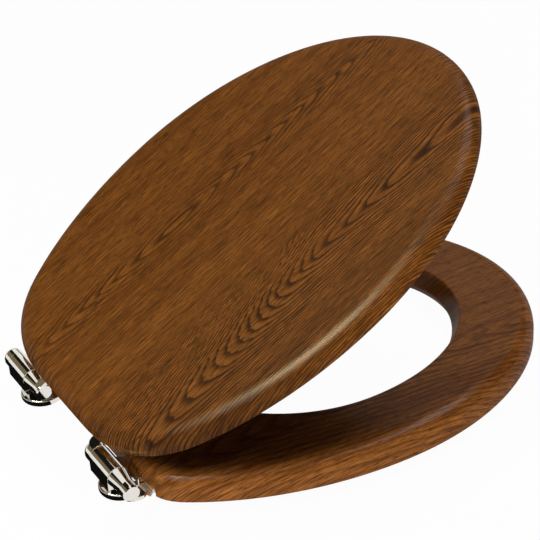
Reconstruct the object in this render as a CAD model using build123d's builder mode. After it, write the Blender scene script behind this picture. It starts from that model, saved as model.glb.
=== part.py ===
"""Wood toilet seat with a lid, two adjustable chrome hinges with dampers, and buffers.

Frame: millimetres, +Z up, the front of the seat towards -Y. The origin lies midway
between the two fixing holes, on the pan surface that the hinge gaskets stand on.
The lid is drawn where the hinges hold it, part way open.
"""

import os
from math import cos, radians, sin

from build123d import *

# Hinge axis and fixing holes
FIXING_SPACING = 155.0
HINGE_SPACING = 164.0
AXIS_BEHIND_FIXINGS = 11.4
AXIS_HEIGHT = 29.3
LID_OPENING = 29.1

# Egg outline shared by lid and seat, with distances forward of the hinge axis
HALF_WIDTH = 185.0
WIDEST_FORWARD = 210.0
REAR_RADIUS = 246.4

# Lid
LID_FRONT_RADIUS = 218.2
LID_BACK = 6.4
LID_BACK_FLAT = 84.0
LID_CORNER_ANGLE = 38.0
LID_RISE = 8.9
LID_THICKNESS = 15.6
LID_TOP_ROUND = 13.2
LID_LOWER_ROUND = 1.6

# Seat ring
SEAT_FRONT_RADIUS = 223.4
SEAT_BACK = 21.0
SEAT_BACK_FLAT = 200.0
SEAT_CORNER_ANGLE = 44.0
SEAT_UNDERSIDE = 7.9
SEAT_THICKNESS = 23.6
SEAT_TOP_ROUND = 14.5
SEAT_LOWER_ROUND = 2.5
RECESS_WIDTH = 116.0
RECESS_MOUTH = 140.0
RECESS_DEPTH = 8.0
RECESS_ROUND = 16.0
OPENING_FORWARD = 213.4
OPENING_HALF_WIDTH = 118.0
OPENING_FRONT_RADIUS = 146.6
OPENING_REAR_RADIUS = 119.0
OPENING_FLARE = 7.0
OPENING_UNDERCUT = 4.0
OPENING_NOSE_DROP = 16.5
OPENING_NOSE_ROUND = 3.0
OPENING_NOSE_BAND = 0.05
OPENING_RIM_ROUND = 1.5
REBATE_DEPTH = 8.0
REBATE_CLEARANCE = 0.5

# Buffers
SEAT_BUFFER_LENGTH = 34.0
SEAT_BUFFER_WIDTH = 14.0
SEAT_BUFFER_ROUND = 2.0
SEAT_BUFFER_SPLAY = 28.0
LID_BUFFER_RADIUS = 8.0
LID_BUFFER_GAP = 0.4
LID_BUFFER_ROUND = 1.5
BUFFER_FRONT_FORWARD = 330.0
BUFFER_REAR_FORWARD = 112.0
BUFFER_RING_SHARE = 0.5

# Hinge foot, gasket and captive nut
FOOT_RADIUS = 18.75
FOOT_HEIGHT = 7.2
FOOT_LOWER_ROUND = 3.0
FOOT_UPPER_ROUND = 1.5
GASKET_RADIUS = 14.5
GASKET_THICKNESS = 1.6
GASKET_PROUD = 0.6
FIXING_HOLE_RADIUS = 4.3
NUT_SIDE = 12.0
NUT_THICKNESS = 6.2
NUT_THREAD_RADIUS = 3.4
NUT_CLEARANCE = 0.1

# Hinge post: neck on the foot, barrel on the axis, gusset between them
BARREL_RADIUS = 9.0
BARREL_LENGTH = 32.2
BARREL_OFFSET = -2.0
BARREL_BACK_ROUND = 1.6
NECK_LENGTH = 27.0
NECK_WIDTH = 17.0
NECK_CORNER = 5.0
SLOT_TRAVEL = 11.0
SLOT_LIP = 3.0
GUSSET_RISE = 5.0
BORE_RADIUS = 6.1

# Damper, its spindle and the plain pivot at the barrel's other end
DAMPER_RADIUS = 6.0
DAMPER_LENGTH = 25.0
SPINDLE_RADIUS = 2.5
SPINDLE_FLATS = 3.6
SPINDLE_GRIP = 9.0
SPINDLE_DEPTH = 12.0
SPINDLE_FIT = 0.05
PIVOT_RADIUS = 3.0
PIVOT_LENGTH = 11.0
PIVOT_FIT = 0.05
WASHER_THICKNESS = 0.7
WASHER_RADIUS = 8.4
WASHER_BORE_RADIUS = 3.3
RUNNING_GAP = 0.1

# Capped knuckle and tapered eye, one at each end of the barrel
KNUCKLE_RADIUS = 8.6
KNUCKLE_LENGTH = 13.2
KNUCKLE_ROUND = 6.0
CONE_RADIUS = 8.8
CONE_NECK_RADIUS = 6.0
CONE_LENGTH = 16.0
EYE_RADIUS = 7.2
EYE_FACE_RADIUS = 5.9
EYE_LENGTH = 8.0

# Lid leaf
LEAF_THICKNESS = 3.0
LEAF_WIDTH = 24.0
LEAF_CORNER = 5.0
LID_ARM_WIDTH = 12.2
LID_ARM_CORNER = 6.0
LID_PLATE_START = 30.0
LID_PLATE_LENGTH = 34.0

# Seat leaf
ARM_DIP = 6.6
ARM_DIP_FORWARD = 7.0
ARM_LEVEL_FORWARD = 13.0
ARM_CRANK_FORWARD = 9.0
ARM_MOUTH_GAP = 2.5
ARM_BEND = 4.0
SEAT_PLATE_INSET = 12.0
SEAT_PLATE_START = 27.0
SEAT_PLATE_LENGTH = 38.0

# Wood screws
SCREW_HEAD_RADIUS = 3.5
SCREW_RADIUS = 1.8
SCREW_POINT = 3.0
SCREW_FIT = 0.05
SCREW_EDGE = 9.0
PAN_HEAD_HEIGHT = 1.6
LID_SCREW_DEPTH = 11.0
SEAT_SCREW_DEPTH = 12.0
BUFFER_SCREW_DEPTH = 15.0

# Planes and axes worked out from the sizes above
AXIS_POINT = Vector(0, AXIS_BEHIND_FIXINGS, AXIS_HEIGHT)
OPEN_SIN = sin(radians(LID_OPENING))
OPEN_COS = cos(radians(LID_OPENING))
LID_NORMAL = Vector(0, OPEN_SIN, OPEN_COS)
SEAT_FRAME = Plane(origin=AXIS_POINT, x_dir=(1, 0, 0), z_dir=(0, 0, 1))
LID_FRAME = Plane(origin=AXIS_POINT, x_dir=(1, 0, 0), z_dir=LID_NORMAL)
SEAT_DROP = SEAT_UNDERSIDE - AXIS_HEIGHT
SEAT_LEAF_FACE = SEAT_DROP + REBATE_DEPTH
OPENING_NOSE = SEAT_DROP + SEAT_THICKNESS - OPENING_NOSE_DROP
SEAT_TOP = SEAT_UNDERSIDE + SEAT_THICKNESS
LID_GAP = AXIS_HEIGHT + LID_RISE - SEAT_TOP
BARREL_HALF = BARREL_LENGTH / 2
KNUCKLE_START = BARREL_HALF + WASHER_THICKNESS + RUNNING_GAP
EYE_START = KNUCKLE_START + CONE_LENGTH
EYE_END = EYE_START + EYE_LENGTH
STANDING = (Align.CENTER, Align.CENTER, Align.MIN)


def egg_face(front_radius, back, back_flat, corner_angle):
    """Fill the egg outline in the current sketch: two half ellipses and a straight back."""
    centre = (0, -WIDEST_FORWARD)
    with BuildLine() as outline:
        EllipticalCenterArc(centre, HALF_WIDTH, front_radius, start_angle=270, arc_size=90)
        side = EllipticalCenterArc(centre, HALF_WIDTH, REAR_RADIUS, start_angle=0, arc_size=corner_angle)
        corner = Spline(side @ 1, (back_flat / 2, -back), tangents=(side % 1, (-1, 0)))
        Line(corner @ 1, (0, -back))
        mirror(about=Plane.YZ)
    make_face(outline.edges())


def opening_face(growth):
    """Fill the outline of the seat's opening in the current sketch, grown all round."""
    centre = (0, -OPENING_FORWARD)
    half_width = OPENING_HALF_WIDTH + growth
    front_radius = OPENING_FRONT_RADIUS + growth
    rear_radius = OPENING_REAR_RADIUS + growth
    with BuildLine() as outline:
        EllipticalCenterArc(centre, half_width, front_radius, start_angle=270, arc_size=90)
        EllipticalCenterArc(centre, half_width, rear_radius, start_angle=0, arc_size=90)
        mirror(about=Plane.YZ)
    make_face(outline.edges())


def ring_middle(forward):
    """Distance from the centre line to the middle of the ring's side, at a distance forward."""
    outer_radius = SEAT_FRONT_RADIUS if forward > WIDEST_FORWARD else REAR_RADIUS
    inner_radius = OPENING_FRONT_RADIUS if forward > OPENING_FORWARD else OPENING_REAR_RADIUS
    outer_share = (forward - WIDEST_FORWARD) / outer_radius
    inner_share = (forward - OPENING_FORWARD) / inner_radius
    outer = HALF_WIDTH * (1 - outer_share**2) ** 0.5
    inner = OPENING_HALF_WIDTH * (1 - inner_share**2) ** 0.5
    return inner + BUFFER_RING_SHARE * (outer - inner)


def plate_points(middle, start, length):
    """Three screw places on a leaf's plate: two side by side and one further forward."""
    spread = LEAF_WIDTH / 4
    near = -start - SCREW_EDGE
    far = -start - length + SCREW_EDGE
    return [(middle - spread, near), (middle + spread, near), (middle, far)]


def wood_screws(plane, points, depth):
    """Countersunk screws with their heads flush in a leaf, driven along the plane's normal."""
    head_height = SCREW_HEAD_RADIUS - SCREW_RADIUS
    shank = LEAF_THICKNESS + depth - head_height - SCREW_POINT - SCREW_FIT
    with BuildPart(plane) as screws:
        with Locations(*points):
            Cone(SCREW_HEAD_RADIUS, SCREW_RADIUS, head_height, align=STANDING)
        with Locations(*[(x, y, head_height) for x, y in points]):
            Cylinder(SCREW_RADIUS, shank, align=STANDING)
        with Locations(*[(x, y, head_height + shank) for x, y in points]):
            Cone(SCREW_RADIUS, 0, SCREW_POINT, align=STANDING)
    return screws.part


def pan_screws(plane, points, length):
    """Flat headed screws that hold the buffers, driven along the plane's normal."""
    shank = length - PAN_HEAD_HEIGHT - SCREW_POINT - SCREW_FIT
    with BuildPart(plane) as screws:
        with Locations(*points):
            Cylinder(SCREW_HEAD_RADIUS, PAN_HEAD_HEIGHT, align=STANDING)
        with Locations(*[(x, y, PAN_HEAD_HEIGHT) for x, y in points]):
            Cylinder(SCREW_RADIUS, shank, align=STANDING)
        with Locations(*[(x, y, PAN_HEAD_HEIGHT + shank) for x, y in points]):
            Cone(SCREW_RADIUS, 0, SCREW_POINT, align=STANDING)
    return screws.part


def drill_countersinks(points):
    """Cut screw holes through a leaf whose outer face is the current workplane."""
    head_height = SCREW_HEAD_RADIUS - SCREW_RADIUS
    with Locations(*points):
        Cone(
            SCREW_HEAD_RADIUS + SCREW_FIT,
            SCREW_RADIUS + SCREW_FIT,
            head_height,
            align=STANDING,
            mode=Mode.SUBTRACT,
        )
        Cylinder(SCREW_RADIUS + SCREW_FIT, LEAF_THICKNESS, align=STANDING, mode=Mode.SUBTRACT)


def save(part, name):
    """Label a finished piece and write its file."""
    part.label = name
    export_step(part, f"parts/{name}.step")


os.makedirs("parts", exist_ok=True)

# Places that the wood, the leaves and the buffers share
SLOT_CENTRES = {"left": -HINGE_SPACING / 2, "right": HINGE_SPACING / 2}
FOOT_CENTRES = {"left": -FIXING_SPACING / 2, "right": FIXING_SPACING / 2}
BARREL_CENTRES = {side: middle + BARREL_OFFSET for side, middle in SLOT_CENTRES.items()}
LEFT_SEAT_PLATE = BARREL_CENTRES["left"] - EYE_END + SEAT_PLATE_INSET + LEAF_WIDTH / 2
SEAT_PLATES = {"left": LEFT_SEAT_PLATE, "right": -LEFT_SEAT_PLATE}
LID_PLATES = {
    "left": BARREL_CENTRES["left"] + KNUCKLE_START + KNUCKLE_LENGTH - LEAF_WIDTH / 2,
    "right": BARREL_CENTRES["right"] - EYE_END + LEAF_WIDTH / 2,
}
LID_SCREW_POINTS = {
    side: plate_points(x, LID_PLATE_START, LID_PLATE_LENGTH) for side, x in LID_PLATES.items()
}
SEAT_SCREW_POINTS = {
    side: plate_points(x, SEAT_PLATE_START, SEAT_PLATE_LENGTH) for side, x in SEAT_PLATES.items()
}
FRONT_MIDDLE = ring_middle(BUFFER_FRONT_FORWARD)
REAR_MIDDLE = ring_middle(BUFFER_REAR_FORWARD)
BUFFER_SPOTS = {
    "front_left": (-FRONT_MIDDLE, -BUFFER_FRONT_FORWARD, SEAT_BUFFER_SPLAY),
    "front_right": (FRONT_MIDDLE, -BUFFER_FRONT_FORWARD, -SEAT_BUFFER_SPLAY),
    "rear_left": (-REAR_MIDDLE, -BUFFER_REAR_FORWARD, -SEAT_BUFFER_SPLAY),
    "rear_right": (REAR_MIDDLE, -BUFFER_REAR_FORWARD, SEAT_BUFFER_SPLAY),
}
SEAT_BUFFER_POINTS = [(x, y) for x, y, turn in BUFFER_SPOTS.values()]
LID_BUFFER_POINTS = SEAT_BUFFER_POINTS[:2]

# Lid: one board with a full round on its upper edge
with BuildPart() as lid:
    with BuildSketch(LID_FRAME.offset(LID_RISE)):
        egg_face(LID_FRONT_RADIUS, LID_BACK, LID_BACK_FLAT, LID_CORNER_ANGLE)
    extrude(amount=LID_THICKNESS)
    across = Axis(AXIS_POINT, LID_NORMAL)
    fillet(lid.faces().sort_by(across)[-1].edges(), LID_TOP_ROUND)
    fillet(lid.faces().sort_by(across)[0].edges(), LID_LOWER_ROUND)
    with BuildSketch(LID_FRAME.offset(LID_RISE)):
        with Locations(*LID_SCREW_POINTS["left"], *LID_SCREW_POINTS["right"]):
            Circle(SCREW_RADIUS + SCREW_FIT)
        with Locations(*LID_BUFFER_POINTS):
            Circle(SCREW_RADIUS + SCREW_FIT)
    extrude(amount=LID_SCREW_DEPTH, mode=Mode.SUBTRACT)
save(lid.part, "lid")

# Seat ring: recessed between the hinges, with a flared opening and a rebate for each leaf
with BuildPart() as seat_ring:
    with BuildSketch(SEAT_FRAME.offset(SEAT_DROP)) as ring_outline:
        egg_face(SEAT_FRONT_RADIUS, SEAT_BACK, SEAT_BACK_FLAT, SEAT_CORNER_ANGLE)
        with BuildLine() as recess:
            Polyline(
                (-RECESS_MOUTH / 2, -SEAT_BACK),
                (-RECESS_WIDTH / 2, -SEAT_BACK - RECESS_DEPTH),
                (RECESS_WIDTH / 2, -SEAT_BACK - RECESS_DEPTH),
                (RECESS_MOUTH / 2, -SEAT_BACK),
                close=True,
            )
        make_face(recess.edges(), mode=Mode.SUBTRACT)
        back_middle = SEAT_FRAME.offset(SEAT_DROP).from_local_coords((0, -SEAT_BACK, 0))
        fillet(ring_outline.vertices().sort_by_distance(back_middle)[:4], RECESS_ROUND)
    extrude(amount=SEAT_THICKNESS)
    fillet(seat_ring.faces().sort_by(Axis.Z)[-1].edges(), SEAT_TOP_ROUND)
    fillet(seat_ring.faces().sort_by(Axis.Z)[0].edges(), SEAT_LOWER_ROUND)
    for level, growth in (
        (SEAT_DROP + SEAT_THICKNESS, OPENING_FLARE),
        (SEAT_DROP, OPENING_UNDERCUT),
    ):
        with BuildSketch(SEAT_FRAME.offset(OPENING_NOSE)):
            opening_face(0)
        with BuildSketch(SEAT_FRAME.offset(level)):
            opening_face(growth)
        loft(mode=Mode.SUBTRACT)
    nose_height = AXIS_HEIGHT + OPENING_NOSE
    nose_band = (nose_height - OPENING_NOSE_BAND, nose_height + OPENING_NOSE_BAND)
    nose_edges = seat_ring.edges().filter_by_position(Axis.Z, *nose_band)
    fillet(nose_edges, OPENING_NOSE_ROUND)
    fillet(seat_ring.faces().sort_by(Axis.Z)[-1].inner_wires().edges(), OPENING_RIM_ROUND)
    rebate_end = SEAT_PLATE_START + SEAT_PLATE_LENGTH + REBATE_CLEARANCE
    with BuildSketch(SEAT_FRAME.offset(SEAT_DROP)):
        with Locations(*[(x, -rebate_end) for x in SEAT_PLATES.values()]):
            RectangleRounded(
                LEAF_WIDTH + 2 * REBATE_CLEARANCE,
                rebate_end,
                LEAF_CORNER + REBATE_CLEARANCE,
                align=(Align.CENTER, Align.MIN),
            )
    extrude(amount=REBATE_DEPTH, mode=Mode.SUBTRACT)
    with BuildSketch(SEAT_FRAME.offset(SEAT_LEAF_FACE)):
        with Locations(*SEAT_SCREW_POINTS["left"], *SEAT_SCREW_POINTS["right"]):
            Circle(SCREW_RADIUS + SCREW_FIT)
    extrude(amount=SEAT_SCREW_DEPTH, mode=Mode.SUBTRACT)
    with BuildSketch(SEAT_FRAME.offset(SEAT_DROP)):
        with Locations(*SEAT_BUFFER_POINTS):
            Circle(SCREW_RADIUS + SCREW_FIT)
    extrude(amount=BUFFER_SCREW_DEPTH, mode=Mode.SUBTRACT)
save(seat_ring.part, "seat_ring")

# Seat buffers: rubber bars between the ring and the pan, each held by one screw
SEAT_BUFFER_SINK = SEAT_UNDERSIDE / 2
for name, (x, y, turn) in BUFFER_SPOTS.items():
    with BuildPart() as seat_buffer:
        with BuildSketch(SEAT_FRAME.offset(-AXIS_HEIGHT)):
            with Locations(Location((x, y), turn + 90)):
                SlotOverall(SEAT_BUFFER_LENGTH, SEAT_BUFFER_WIDTH)
        extrude(amount=SEAT_UNDERSIDE)
        fillet(seat_buffer.faces().sort_by(Axis.Z)[0].edges(), SEAT_BUFFER_ROUND)
        with BuildSketch(SEAT_FRAME.offset(-AXIS_HEIGHT)):
            with Locations((x, y)):
                Circle(SCREW_HEAD_RADIUS + SCREW_FIT)
        extrude(amount=SEAT_BUFFER_SINK, mode=Mode.SUBTRACT)
        with BuildSketch(SEAT_FRAME.offset(-AXIS_HEIGHT)):
            with Locations((x, y)):
                Circle(SCREW_RADIUS + SCREW_FIT)
        extrude(amount=SEAT_UNDERSIDE, mode=Mode.SUBTRACT)
    save(seat_buffer.part, f"seat_buffer_{name}")

# Lid buffers: rubber buttons that meet the ring when the lid is shut
LID_BUFFER_HEIGHT = LID_GAP - LID_BUFFER_GAP
LID_BUFFER_SINK = LID_BUFFER_HEIGHT / 2
for name, point in zip(("left", "right"), LID_BUFFER_POINTS):
    with BuildPart() as lid_buffer:
        with BuildSketch(LID_FRAME.offset(LID_RISE)):
            with Locations(point):
                Circle(LID_BUFFER_RADIUS)
        extrude(amount=-LID_BUFFER_HEIGHT)
        fillet(lid_buffer.faces().sort_by(Axis(AXIS_POINT, LID_NORMAL))[0].edges(), LID_BUFFER_ROUND)
        with BuildSketch(LID_FRAME.offset(LID_RISE - LID_BUFFER_HEIGHT)):
            with Locations(point):
                Circle(SCREW_HEAD_RADIUS + SCREW_FIT)
        extrude(amount=LID_BUFFER_SINK, mode=Mode.SUBTRACT)
        with BuildSketch(LID_FRAME.offset(LID_RISE - LID_BUFFER_HEIGHT)):
            with Locations(point):
                Circle(SCREW_RADIUS + SCREW_FIT)
        extrude(amount=LID_BUFFER_HEIGHT, mode=Mode.SUBTRACT)
    save(lid_buffer.part, f"lid_buffer_{name}")

SEAT_BUFFER_SCREW_LENGTH = SEAT_UNDERSIDE - SEAT_BUFFER_SINK + PAN_HEAD_HEIGHT + BUFFER_SCREW_DEPTH
seat_buffer_screws = pan_screws(
    SEAT_FRAME.offset(SEAT_BUFFER_SINK - PAN_HEAD_HEIGHT - AXIS_HEIGHT),
    SEAT_BUFFER_POINTS,
    SEAT_BUFFER_SCREW_LENGTH,
)
save(seat_buffer_screws, "seat_buffer_screws")

LID_BUFFER_SCREW_LENGTH = LID_BUFFER_HEIGHT - LID_BUFFER_SINK + PAN_HEAD_HEIGHT + LID_SCREW_DEPTH
lid_buffer_screws = pan_screws(
    LID_FRAME.offset(LID_RISE - LID_BUFFER_HEIGHT + LID_BUFFER_SINK - PAN_HEAD_HEIGHT),
    LID_BUFFER_POINTS,
    LID_BUFFER_SCREW_LENGTH,
)
save(lid_buffer_screws, "lid_buffer_screws")

# Hinges: two of the same casting, each on a foot that slides in its slot. Each damper turns
# with its capped knuckle, which carries the lid on the left hinge and the ring on the right
BARREL_BOTTOM = AXIS_HEIGHT - BARREL_RADIUS
POCKET_FLOOR = FOOT_HEIGHT + SLOT_LIP
PIVOT_PLUG = BARREL_LENGTH - DAMPER_LENGTH - RUNNING_GAP
CAPPED = {"left": "lid", "right": "seat"}

for side, barrel_x in BARREL_CENTRES.items():
    slot_x = SLOT_CENTRES[side]
    foot_x = FOOT_CENTRES[side]
    lid_capped = CAPPED[side] == "lid"
    lid_end = 1 if lid_capped else -1
    axis_line = Axis((barrel_x, AXIS_BEHIND_FIXINGS, AXIS_HEIGHT), (1, 0, 0))
    along = Plane(origin=axis_line.position, x_dir=(1, 0, 0), z_dir=(0, -1, 0))
    seat_section = Plane(origin=axis_line.position, x_dir=(0, 1, 0), z_dir=(1, 0, 0))
    lid_section = Plane(origin=axis_line.position, x_dir=(0, OPEN_COS, -OPEN_SIN), z_dir=(1, 0, 0))

    # Foot: turned cup with a gasket recess and a clearance hole
    with BuildPart() as foot:
        with BuildSketch(Plane.XY.offset(GASKET_PROUD)):
            with Locations((foot_x, 0)):
                Circle(FOOT_RADIUS)
        extrude(amount=FOOT_HEIGHT - GASKET_PROUD)
        fillet(foot.faces().sort_by(Axis.Z)[0].edges(), FOOT_LOWER_ROUND)
        fillet(foot.faces().sort_by(Axis.Z)[-1].edges(), FOOT_UPPER_ROUND)
        with BuildSketch(Plane.XY):
            with Locations((foot_x, 0)):
                Circle(GASKET_RADIUS + RUNNING_GAP)
        extrude(amount=GASKET_THICKNESS, mode=Mode.SUBTRACT)
        with BuildSketch(Plane.XY):
            with Locations((foot_x, 0)):
                Circle(FIXING_HOLE_RADIUS)
        extrude(amount=FOOT_HEIGHT, mode=Mode.SUBTRACT)
    save(foot.part, f"{side}_foot")

    with BuildPart() as gasket:
        with BuildSketch(Plane.XY):
            with Locations((foot_x, 0)):
                Circle(GASKET_RADIUS)
                Circle(FIXING_HOLE_RADIUS, mode=Mode.SUBTRACT)
        extrude(amount=GASKET_THICKNESS)
    save(gasket.part, f"{side}_gasket")

    # Post: neck, gusset and bored barrel cast in one, with a nut slot in the neck
    with BuildPart() as post:
        with BuildSketch(Plane.XY.offset(FOOT_HEIGHT)):
            with Locations((slot_x, 0)):
                RectangleRounded(NECK_LENGTH, NECK_WIDTH, NECK_CORNER)
        extrude(amount=BARREL_BOTTOM - FOOT_HEIGHT)
        with BuildSketch(seat_section.offset(-BARREL_HALF)) as barrel_section:
            Circle(BARREL_RADIUS)
            with Locations((0, -BARREL_RADIUS)):
                Rectangle(2 * BARREL_RADIUS, BARREL_RADIUS, align=(Align.CENTER, Align.MIN))
            lower_corners = barrel_section.vertices().group_by(Axis.Z)[0]
            fillet(lower_corners.sort_by(Axis.Y)[-1], BARREL_BACK_ROUND)
            with BuildLine() as gusset:
                Polyline(
                    (-BARREL_RADIUS, GUSSET_RISE - BARREL_RADIUS),
                    (-AXIS_BEHIND_FIXINGS - NECK_WIDTH / 2, -BARREL_RADIUS),
                    (-BARREL_RADIUS, -BARREL_RADIUS),
                    close=True,
                )
            make_face(gusset.edges())
        extrude(amount=BARREL_LENGTH)
        with BuildSketch(seat_section.offset(-BARREL_HALF)):
            Circle(BORE_RADIUS)
        extrude(amount=BARREL_LENGTH, mode=Mode.SUBTRACT)
        with BuildSketch(Plane.XY.offset(FOOT_HEIGHT)):
            with Locations((slot_x, 0)):
                SlotCenterToCenter(SLOT_TRAVEL, 2 * FIXING_HOLE_RADIUS)
        extrude(amount=SLOT_LIP, mode=Mode.SUBTRACT)
        pocket_side = NUT_SIDE + 2 * NUT_CLEARANCE
        with BuildSketch(Plane.XY.offset(POCKET_FLOOR)):
            with Locations((slot_x + SLOT_TRAVEL / 2 + pocket_side / 2, 0)):
                Rectangle(NECK_LENGTH, pocket_side, align=(Align.MAX, Align.CENTER))
        extrude(amount=NUT_THICKNESS + NUT_CLEARANCE, mode=Mode.SUBTRACT)
    save(post.part, f"{side}_post")

    # Square nut that takes the fixing bolt
    with BuildPart() as fixing_nut:
        with BuildSketch(Plane.XY.offset(POCKET_FLOOR)):
            with Locations((foot_x, 0)):
                Rectangle(NUT_SIDE, NUT_SIDE)
                Circle(NUT_THREAD_RADIUS, mode=Mode.SUBTRACT)
        extrude(amount=NUT_THICKNESS)
    save(fixing_nut.part, f"{side}_fixing_nut")

    # Damper body at the capped end of the bore, plain pivot at the other
    with BuildPart() as damper:
        with BuildSketch(seat_section.offset(BARREL_HALF)):
            Circle(DAMPER_RADIUS)
        extrude(amount=-DAMPER_LENGTH)
        with BuildSketch(seat_section.offset(BARREL_HALF)):
            Circle(SPINDLE_RADIUS + SPINDLE_FIT)
        extrude(amount=-SPINDLE_DEPTH - SPINDLE_FIT, mode=Mode.SUBTRACT)
    save(damper.part, f"{side}_damper")

    with BuildPart() as pivot:
        with BuildSketch(seat_section.offset(-BARREL_HALF)):
            Circle(DAMPER_RADIUS)
        extrude(amount=PIVOT_PLUG)
        with BuildSketch(seat_section.offset(-BARREL_HALF)):
            Circle(PIVOT_RADIUS)
        extrude(amount=BARREL_HALF - KNUCKLE_START - PIVOT_LENGTH)
    save(pivot.part, f"{side}_pivot_pin")

    # The spindle turns with the capped knuckle
    cap_section = lid_section if lid_capped else seat_section
    with BuildPart() as spindle:
        with BuildSketch(cap_section.offset(BARREL_HALF - SPINDLE_DEPTH)):
            Circle(SPINDLE_RADIUS)
        extrude(amount=SPINDLE_DEPTH + KNUCKLE_START - BARREL_HALF)
        with BuildSketch(cap_section.offset(KNUCKLE_START)):
            Circle(SPINDLE_RADIUS)
            Rectangle(2 * SPINDLE_RADIUS, SPINDLE_FLATS, mode=Mode.INTERSECT)
        extrude(amount=SPINDLE_GRIP)
    save(spindle.part, f"{side}_damper_spindle")

    for leaf, end in (("lid", lid_end), ("seat", -lid_end)):
        with BuildPart() as washer:
            with BuildSketch(seat_section.offset(end * BARREL_HALF)):
                Circle(WASHER_RADIUS)
                Circle(WASHER_BORE_RADIUS, mode=Mode.SUBTRACT)
            extrude(amount=end * WASHER_THICKNESS)
        save(washer.part, f"{side}_{leaf}_washer")

    # Capped knuckle with a flatted socket for the spindle
    with BuildPart() as knuckle:
        with BuildSketch(cap_section.offset(KNUCKLE_START)):
            Circle(KNUCKLE_RADIUS)
        extrude(amount=KNUCKLE_LENGTH)
        fillet(knuckle.faces().sort_by(Axis.X)[-1].edges(), KNUCKLE_ROUND)
        with BuildSketch(cap_section.offset(KNUCKLE_START)):
            Circle(SPINDLE_RADIUS + SPINDLE_FIT)
            Rectangle(
                2 * (SPINDLE_RADIUS + SPINDLE_FIT), SPINDLE_FLATS + 2 * SPINDLE_FIT, mode=Mode.INTERSECT
            )
        extrude(amount=SPINDLE_GRIP + RUNNING_GAP, mode=Mode.SUBTRACT)

    # Tapered eye with a round socket for the pivot
    with BuildPart() as eye:
        with BuildSketch(along):
            with BuildLine():
                Polyline(
                    (-KNUCKLE_START, 0),
                    (-KNUCKLE_START, CONE_RADIUS),
                    (-EYE_START, CONE_NECK_RADIUS),
                    (-EYE_START, EYE_RADIUS),
                    (-EYE_END + EYE_RADIUS - EYE_FACE_RADIUS, EYE_RADIUS),
                    (-EYE_END, EYE_FACE_RADIUS),
                    (-EYE_END, 0),
                    close=True,
                )
            make_face()
        revolve(axis=axis_line)
        with BuildSketch(seat_section.offset(-KNUCKLE_START)):
            Circle(PIVOT_RADIUS + PIVOT_FIT)
        extrude(amount=-PIVOT_LENGTH - RUNNING_GAP, mode=Mode.SUBTRACT)

    # Lid leaf: arm from its knuckle or strap from its eye, and a plate screwed under the lid
    lid_arm_end = LID_PLATE_START + LEAF_CORNER
    strap_rise = EYE_RADIUS - LEAF_THICKNESS / 2
    lid_leaf_plane = LID_FRAME.offset(LID_RISE - LEAF_THICKNESS)
    with BuildPart(lid_leaf_plane) as lid_leaf:
        if lid_capped:
            with BuildSketch(lid_leaf_plane) as lid_arm:
                with Locations((barrel_x + KNUCKLE_START, 0)):
                    Rectangle(LID_ARM_WIDTH, lid_arm_end, align=(Align.MIN, Align.MAX))
                rear_corners = lid_arm.vertices().group_by(Axis.Y)[-1]
                fillet(rear_corners.sort_by(Axis.X)[-1], LID_ARM_CORNER)
            extrude(amount=LEAF_THICKNESS)
        else:
            with BuildSketch(lid_section.offset(-EYE_END)):
                with BuildLine():
                    strap = FilletPolyline(
                        (0, strap_rise),
                        (-ARM_DIP_FORWARD, strap_rise),
                        (-ARM_LEVEL_FORWARD, LID_RISE - LEAF_THICKNESS / 2),
                        (-lid_arm_end, LID_RISE - LEAF_THICKNESS / 2),
                        radius=ARM_BEND,
                    )
                trace(strap, LEAF_THICKNESS)
            extrude(amount=EYE_LENGTH)
        add(lid_leaf_plane.to_local_coords(knuckle.part if lid_capped else eye.part))
        with BuildSketch(lid_leaf_plane):
            with Locations((LID_PLATES[side], -LID_PLATE_START)):
                RectangleRounded(
                    LEAF_WIDTH, LID_PLATE_LENGTH, LEAF_CORNER, align=(Align.CENTER, Align.MAX)
                )
        extrude(amount=LEAF_THICKNESS)
        drill_countersinks(LID_SCREW_POINTS[side])
    save(lid_leaf.part, f"{side}_lid_leaf")

    lid_screws = wood_screws(lid_leaf_plane, LID_SCREW_POINTS[side], LID_SCREW_DEPTH)
    save(lid_screws, f"{side}_lid_screws")

    # Seat leaf: arm bent down to a plate screwed in the ring's rebate, straight from its
    # knuckle or cranked inwards from its eye
    plate_middle = SEAT_LEAF_FACE - LEAF_THICKNESS / 2
    seat_plate_x = SEAT_PLATES[side]
    plate_left_x = seat_plate_x - LEAF_WIDTH / 2
    arm_end = -SEAT_PLATE_START - LEAF_CORNER
    arm_start = -EYE_END if lid_capped else KNUCKLE_START
    seat_leaf_plane = SEAT_FRAME.offset(SEAT_LEAF_FACE - LEAF_THICKNESS)
    with BuildPart(seat_leaf_plane) as seat_leaf:
        with BuildSketch(seat_section.offset(arm_start)):
            with BuildLine():
                bend = FilletPolyline(
                    (0, LEAF_THICKNESS / 2 - EYE_RADIUS),
                    (-ARM_DIP_FORWARD, -ARM_DIP),
                    (-ARM_LEVEL_FORWARD, -ARM_DIP),
                    (-SEAT_BACK + ARM_MOUTH_GAP, plate_middle),
                    (arm_end, plate_middle),
                    radius=ARM_BEND,
                )
            trace(bend, LEAF_THICKNESS)
        if lid_capped:
            extrude(amount=SEAT_PLATE_INSET + LEAF_WIDTH / 2)
            with BuildSketch(SEAT_FRAME.offset(SEAT_DROP)):
                with BuildLine():
                    Polyline(
                        (barrel_x - EYE_END, 0),
                        (barrel_x - EYE_END, -ARM_CRANK_FORWARD),
                        (plate_left_x, -SEAT_BACK),
                        (plate_left_x, arm_end),
                        (seat_plate_x, arm_end),
                        (seat_plate_x, -SEAT_BACK),
                        (barrel_x - EYE_START, -ARM_DIP_FORWARD),
                        (barrel_x - EYE_START, 0),
                        close=True,
                    )
                make_face()
            extrude(amount=AXIS_HEIGHT, mode=Mode.INTERSECT)
        else:
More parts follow.
